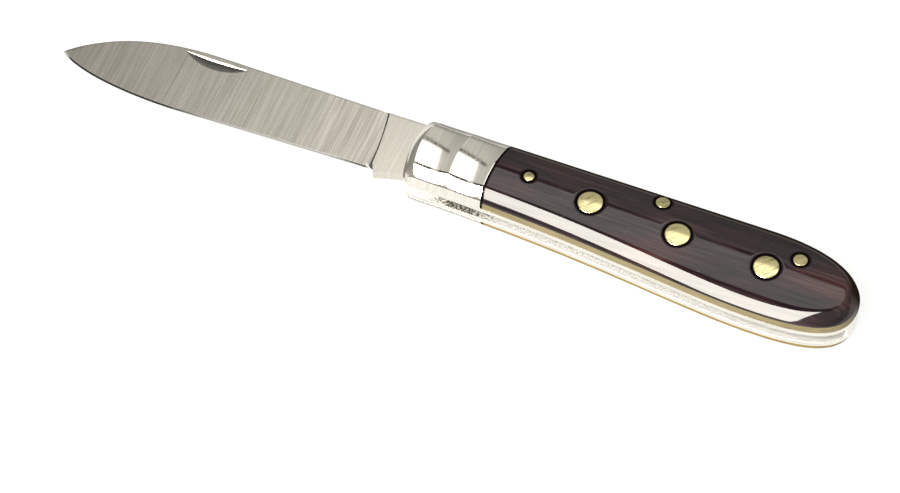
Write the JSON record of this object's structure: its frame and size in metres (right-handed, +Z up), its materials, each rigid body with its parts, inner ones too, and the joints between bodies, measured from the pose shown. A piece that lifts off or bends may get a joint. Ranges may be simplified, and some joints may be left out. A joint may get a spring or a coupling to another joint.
{
  "type": "folding pocket knife",
  "caption": "Slip-joint folding knife: drop-point blade with nail nick, scalloped metal bolsters, dark wood scales pinned to metal liners.",
  "frame": {"origin": "centre of the open knife's bounding box, at the surface it lies on", "axes": "+X from the blade's tip to the handle's tail, +Y to the backspring side, +Z up out of the mark side, which carries the nail nick"},
  "size_m": [0.1782, 0.0208, 0.0137],
  "materials": {
    "blade_steel": "satin, ground across the blade",
    "spring_steel": "polished edge",
    "nickel_silver": "polished",
    "dark_wood": "oiled and polished, purple-brown grain along the handle",
    "brass": "ground flush"
  },
  "bodies": {
    "handle": {"backspring": "spring_steel", "mark_liner": "nickel_silver", "pile_liner": "nickel_silver", "mark_bolster": "nickel_silver", "pile_bolster": "nickel_silver", "mark_scale": "dark_wood", "pile_scale": "dark_wood", "pivot_pin": "nickel_silver", "spring_pin": "brass", "end_pin": "brass", "mark_front_pin": "brass", "pile_front_pin": "brass", "large_rivet_front": "brass", "large_rivet_middle": "brass", "large_rivet_rear": "brass", "mark_bolster_rivet_upper": "nickel_silver", "mark_bolster_rivet_lower": "nickel_silver", "pile_bolster_rivet_upper": "nickel_silver", "pile_bolster_rivet_lower": "nickel_silver"},
    "blade": {"blade": "blade_steel"}
  },
  "joints": [
    {"name": "blade_fold", "type": "hinge", "parent": "handle", "child": "blade", "pos_m": [-0.0014, 0.00125, 0.00688], "axis": [0, 0, 1], "range_deg": [0, 175], "deforming": ["backspring"]}
  ]
}
